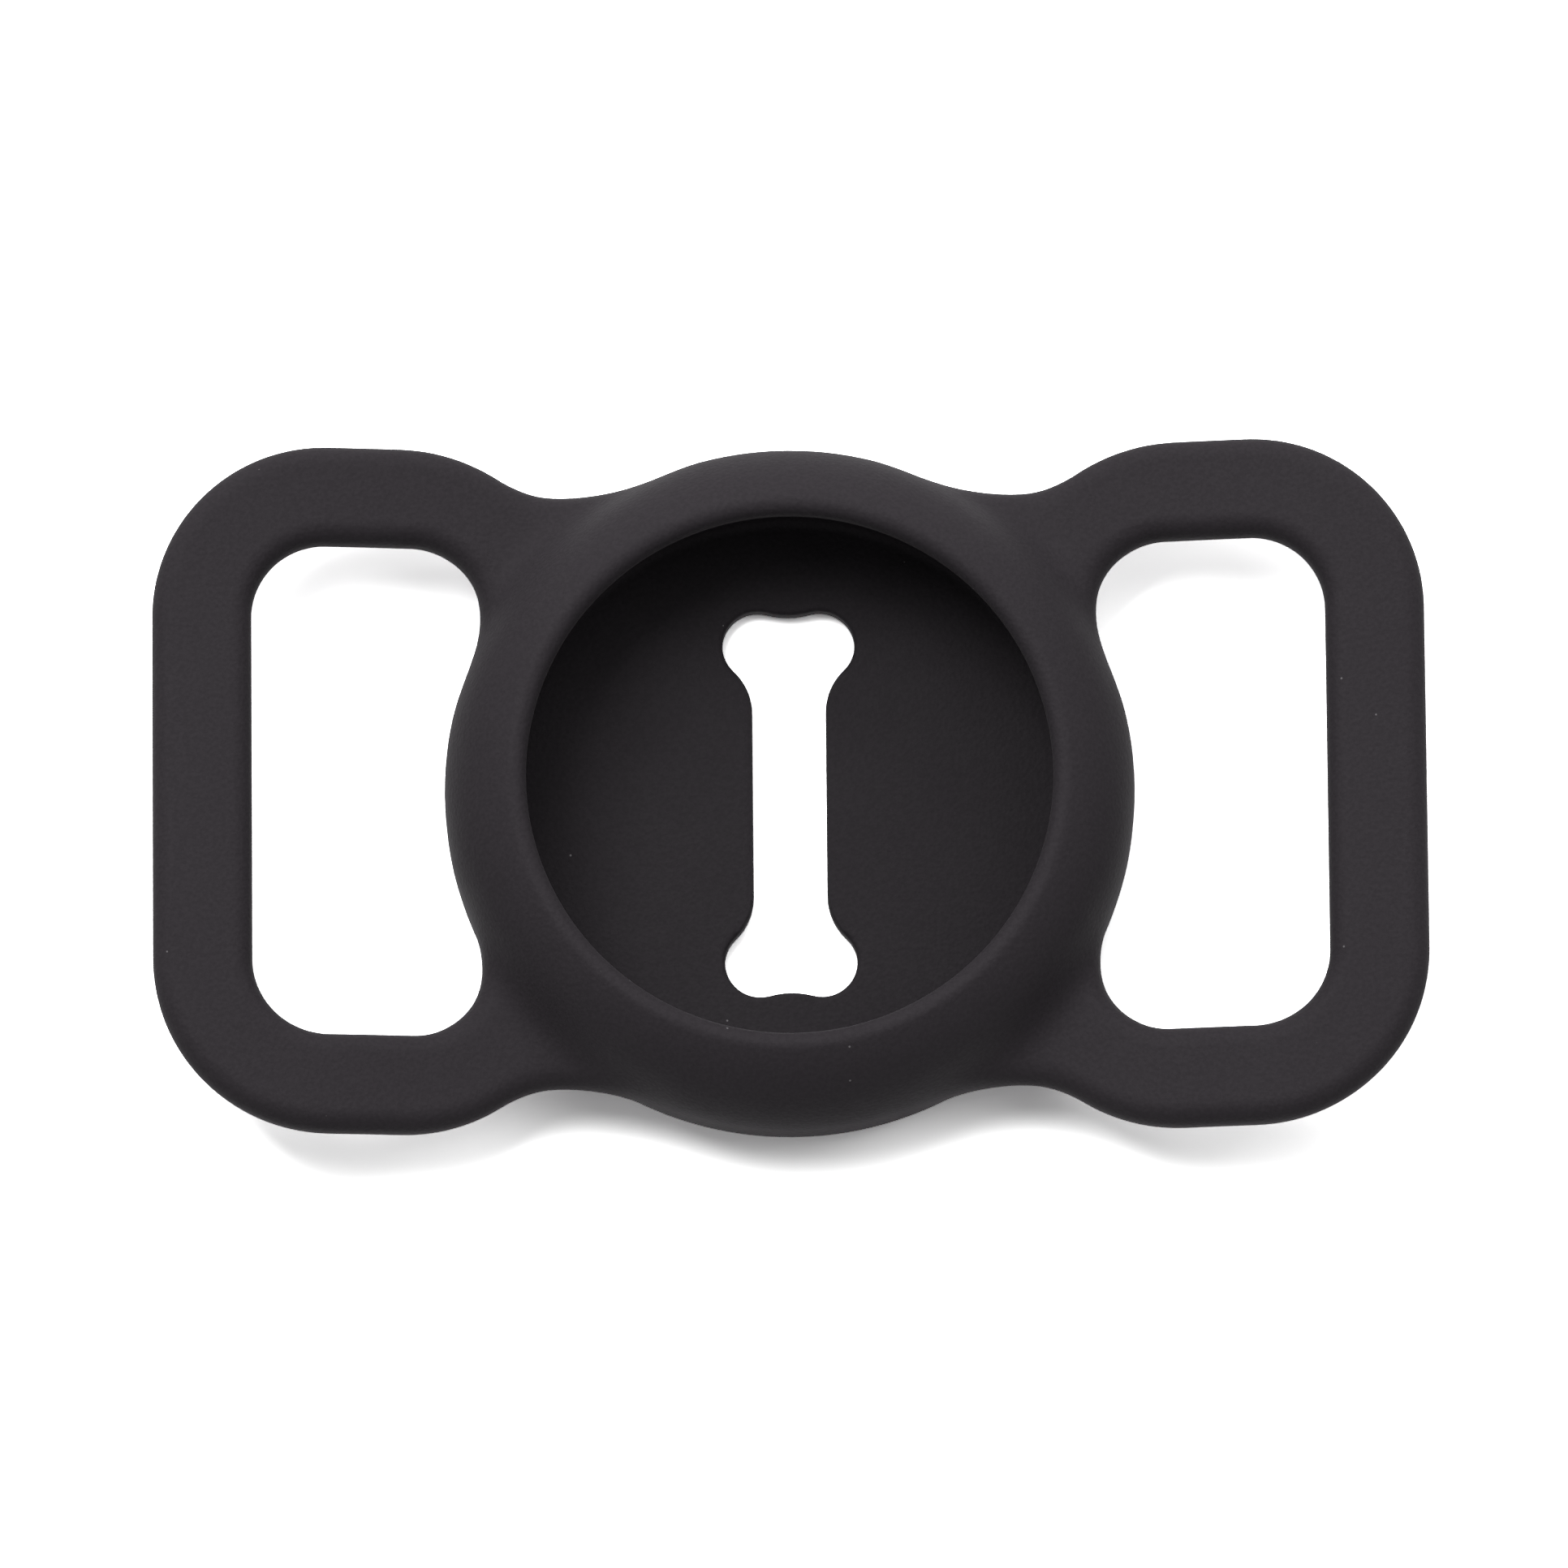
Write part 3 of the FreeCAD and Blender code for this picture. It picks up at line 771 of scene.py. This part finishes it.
class Nodes:
    """A node tree that grows node by node."""

    def __init__(self, owner: bpy.types.Material | bpy.types.World) -> None:
        """Start with the owner's tree, emptied.

        Args:
            owner: The material or the world.
        """
        owner.use_nodes = True
        self.tree = owner.node_tree
        self.tree.nodes.clear()

    def add(
        self,
        kind: str,
        settings: dict[str, object] | None = None,
        inputs: dict[str | int, object] | None = None,
        output: str | int = 0,
    ) -> Shade | None:
        """Add a node, set it up and link it.

        Args:
            kind: The node's type.
            settings: Its settings by name, which are set first.
            inputs: Values or links of its input sockets by name or number.
            output: Name or number of the output socket that is wanted.

        Returns:
            The output socket, or nothing for a node without one.
        """
        node = self.tree.nodes.new(kind)
        for name, value in (settings or {}).items():
            setattr(node, name, value)
        for name, value in (inputs or {}).items():
            if isinstance(value, Shade):
                self.tree.links.new(value.socket, node.inputs[name])
            else:
                node.inputs[name].default_value = value
        return Shade(self, node.outputs[output]) if len(node.outputs) else None

    def mix(self, factor: Shade | float, first: object, second: object) -> Shade:
        """Mix two colours by a factor."""
        return self.add("ShaderNodeMix", {"data_type": "RGBA"}, {0: factor, 6: first, 7: second}, 2)

    def ramp(self, value: Shade, low: float, high: float) -> Shade:
        """Give a smooth step from 0 at a low value to 1 at a high one."""
        settings = {"interpolation_type": "SMOOTHSTEP"}
        return self.add("ShaderNodeMapRange", settings, {0: value, 1: low, 2: high})

    def noise(self, place: Shade, size: float, detail: float) -> Shade:
        """Give a cloudy pattern of a size in millimetres."""
        inputs = {"Vector": place, "Scale": 1 / (size * MM), "Detail": detail}
        return self.add("ShaderNodeTexNoise", None, inputs)

    def cells(self, place: Shade, size: float, output: str) -> Shade:
        """Give one output of a pattern of cells of a size in millimetres."""
        inputs = {"Vector": place, "Scale": 1 / (size * MM)}
        return self.add("ShaderNodeTexVoronoi", None, inputs, output)

    def ray(self, kind: str) -> Shade:
        """Give 1 for light rays of a kind, and 0 for others."""
        return self.add("ShaderNodeLightPath", output=f"Is {kind} Ray")


@dataclass(frozen=True)
class SiliconeFinish:
    """Matte black silicone with a fine leathery grain and a little lint; lengths in millimetres."""

    dark: Colour = (0.0322, 0.0281, 0.0322, 1.0)
    light: Colour = (0.0398, 0.0349, 0.0398, 1.0)
    lint: Colour = (0.20, 0.19, 0.20, 1.0)
    roughness: float = 0.60
    roughness_spread: float = 0.10
    specular: float = 0.10
    sheen: float = 0.02
    mottle_size: float = 5.0
    mottle_detail: float = 4.0
    mottle_span: Span = (0.2, 0.8)
    mottle_share: float = 0.35
    grain_size: float = 0.24
    grain_share: float = 0.65
    grain_span: Span = (0.36, 0.64)
    grain_depth: float = 0.03
    grain_strength: float = 0.9
    pore_size: float = 0.11
    fine_detail: float = 2.0
    lint_spacing: float = 1.7
    lint_size: float = 0.045
    lint_rarity: float = 0.8
    # Painted shade inside the pocket: where it lies, and how much darker the colour is drawn there.
    pocket_radius: float = 16.3
    pocket_low: Span = (0.7, 0.9)
    pocket_high: Span = (9.3, 9.9)
    painted_shade_share: float = 0.25

    def build(self) -> bpy.types.Material:
        """Make the material.

        Returns:
            The finished material.
        """
        material = bpy.data.materials.new("silicone")
        nodes = Nodes(material)
        place = nodes.add("ShaderNodeTexCoord", output="Object")
        mottle = nodes.noise(place, self.mottle_size, self.mottle_detail)
        mottle = nodes.ramp(mottle, *self.mottle_span)
        bump = {
            "Strength": self.grain_strength,
            "Distance": self.grain_depth * MM,
            "Height": self.grain(nodes, place),
        }
        surface = {
            "Base Color": self.colour(nodes, place, mottle),
            "Roughness": self.roughness + self.roughness_spread * mottle,
            "Specular IOR Level": self.specular,
            "Sheen Weight": self.sheen,
            "Normal": nodes.add("ShaderNodeBump", None, bump),
        }
        shader = nodes.add("ShaderNodeBsdfPrincipled", None, surface)
        nodes.add("ShaderNodeOutputMaterial", None, {"Surface": shader})
        return material

    def grain(self, nodes: Nodes, place: Shade) -> Shade:
        """Give the height of the moulded grain.

        Args:
            nodes: The material's tree.
            place: Where a point of the skin is.

        Returns:
            The height, as a share of the grain's depth.
        """
        leather = nodes.cells(place, self.grain_size, "Distance")
        pores = nodes.noise(place, self.pore_size, self.fine_detail)
        return self.grain_share * leather + (1 - self.grain_share) * pores

    def colour(self, nodes: Nodes, place: Shade, mottle: Shade) -> Shade:
        """Give the skin's colour: mottled, with painted shade in the pocket and specks of lint.

        Args:
            nodes: The material's tree.
            place: Where a point of the skin is.
            mottle: Its broad light and dark patches.

        Returns:
            The colour.
        """
        speckle = nodes.noise(place, self.grain_size, self.fine_detail)
        speckle = nodes.ramp(speckle, *self.grain_span)
        tone = self.mottle_share * mottle + (1 - self.mottle_share) * speckle
        skin = nodes.mix(tone, self.dark, self.light)
        # Painted shade: the pocket's inside is mixed towards black, standing in for the shade in
        # that recess.
        skin = nodes.mix(self.painted_shade_share * self.pocket_painted_shade_mask(nodes, place), skin, BLACK)
        draw = nodes.cells(place, self.lint_spacing, "Color")
        chance = nodes.add("ShaderNodeSeparateColor", None, {0: draw})
        middle = nodes.cells(place, self.lint_spacing, "Distance")
        near = 1 - nodes.ramp(middle, self.lint_size / 2, self.lint_size)
        return nodes.mix(near * (chance > self.lint_rarity), skin, self.lint)

    def pocket_painted_shade_mask(self, nodes: Nodes, place: Shade) -> Shade:
        """Give 1 on the pocket's inside, where painted shade darkens the colour.

        Args:
            nodes: The material's tree.
            place: Where a point of the skin is.

        Returns:
            The mask, 0 elsewhere.
        """
        height = nodes.add("ShaderNodeSeparateXYZ", None, {0: place}, "Z")
        vector = "ShaderNodeVectorMath"
        flat = nodes.add(vector, {"operation": "MULTIPLY"}, {0: place, 1: (1, 1, 0)})
        radius = nodes.add(vector, {"operation": "LENGTH"}, {0: flat}, "Value")
        low = [edge * MM for edge in self.pocket_low]
        high = [edge * MM for edge in self.pocket_high]
        upright = nodes.ramp(height, *low) * (1 - nodes.ramp(height, *high))
        return upright * (1 - (radius > self.pocket_radius * MM))


@dataclass(frozen=True)
class Lamp:
    """One soft oblong lamp that looks at the holder; lengths in metres."""

    name: str
    place: tuple[float, float, float]
    width: float
    depth: float
    level: float

    def build(self) -> None:
        """Hang the lamp so that it alone would give a white card its level."""
        bpy.ops.object.select_all(action="DESELECT")
        bpy.ops.object.light_add(type="AREA", location=self.place)
        lamp = bpy.context.object
        lamp.name = self.name
        lamp.data.shape = "RECTANGLE"
        lamp.data.size = self.width
        lamp.data.size_y = self.depth
        spot = Vector(self.place)
        lamp.data.energy = self.level * math.pi**2 * spot.length_squared
        lamp.rotation_euler = spot.to_track_quat("Z", "Y").to_euler()


@dataclass
class Stage:
    """White table, three soft lamps on the far side, and the camera; lengths in metres."""

    table_side: float = 3.0
    table_drop: float = 0.00002
    table_colour: Colour = (0.8, 0.8, 0.8, 1.0)
    table_seen_colour: Colour = (4.5, 4.5, 4.5, 1.0)
    table_lift: float = 0.03
    table_mirrored: float = 0.45
    ambient: float = 0.10
    lamps: tuple[Lamp, ...] = (
        Lamp("key_lamp", (-0.27, 0.30, 0.72), 0.36, 0.48, 0.50),
        Lamp("fill_lamp", (0.30, 0.32, 0.70), 0.80, 0.60, 0.28),
        Lamp("back_lamp", (-0.10, 0.80, 0.42), 1.20, 0.50, 0.30),
    )
    camera_distance: float = 1.0
    camera_tilt: float = 11.0
    camera_roll: float = 0.53
    camera_target: tuple[float, float, float] = (-0.00031, 0.00045, 0.0045)
    pixels_a_metre: float = 22370.0

    def seen(self, nodes: Nodes) -> Shade:
        """Give 1 for rays that show what is behind the holder: the camera's, and mirrored ones.

        Args:
            nodes: The tree that asks.

        Returns:
            The mask, 0 for rays that only light the scene.
        """
        rays = nodes.ray("Camera") + nodes.ray("Glossy") + nodes.ray("Transmission")
        return nodes.add("ShaderNodeClamp", None, {0: rays})

    def lay_table(self) -> None:
        """Lay the white table that keeps the holder's shadow."""
        bpy.ops.object.select_all(action="DESELECT")
        bpy.ops.mesh.primitive_plane_add(size=self.table_side, location=(0, 0, -self.table_drop))
        table = bpy.context.object
        table.name = "table"
        material = bpy.data.materials.new("table_white")
        nodes = Nodes(material)
        direct = nodes.ray("Camera")
        mirrored = self.seen(nodes) - direct
        colour = nodes.mix(direct, self.table_colour, self.table_seen_colour)
        matte = nodes.add("ShaderNodeBsdfDiffuse", None, {"Color": colour})
        lift = self.table_lift * direct + self.table_mirrored * mirrored
        glow = nodes.add("ShaderNodeEmission", None, {"Strength": lift})
        both = nodes.add("ShaderNodeAddShader", None, {0: matte, 1: glow})
        nodes.add("ShaderNodeOutputMaterial", None, {"Surface": both})
        table.data.materials.append(material)
        table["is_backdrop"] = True

    def light(self) -> None:
        """Set the even light all round, then the lamps."""
        world = bpy.data.worlds.new("studio")
        bpy.context.scene.world = world
        nodes = Nodes(world)
        strength = self.ambient + (1 - self.ambient) * self.seen(nodes)
        sky = nodes.add("ShaderNodeBackground", None, {"Color": WHITE, "Strength": strength})
        nodes.add("ShaderNodeOutputWorld", None, {"Surface": sky})
        for lamp in self.lamps:
            lamp.build()
        bpy.context.scene.view_settings.view_transform = "Standard"

    def place_camera(self) -> None:
        """Look steeply down on the holder from its near side."""
        tilt = math.radians(self.camera_tilt)
        back = Vector((0, -math.sin(tilt), math.cos(tilt)))
        target = Vector(self.camera_target)
        bpy.ops.object.camera_add(location=target + self.camera_distance * back)
        camera = bpy.context.object
        roll = Quaternion((0, 0, 1), -math.radians(self.camera_roll))
        camera.rotation_euler = (back.to_track_quat("Z", "Y") @ roll).to_euler()
        field_width = IMAGE_SIDE / self.pixels_a_metre
        camera.data.lens = camera.data.sensor_width * self.camera_distance / field_width
        bpy.context.scene.camera = camera

    def build(self) -> None:
        """Set up the whole stage."""
        self.lay_table()
        self.light()
        self.place_camera()


def main() -> None:
    """Build the holder and its stage, and report each piece."""
    logging.basicConfig(level=logging.INFO, format="%(name)s: %(message)s")
    loop = StrapLoop()
    skin = Skin(Cup(), loop).build()
    holder = Holder()
    pieces = list(holder.build(skin, loop.reach))
    holder.dress(pieces, SiliconeFinish().build())
    for piece in pieces:
        log.info("%s has %d faces", piece.name, len(piece.data.polygons))
    Stage().build()
    boxes = {"solids": SOLID_BOX, "shown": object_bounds()}
    {name: [list(corner) for corner in box] for name, box in boxes.items()}


if __name__ == "__main__":
    main()
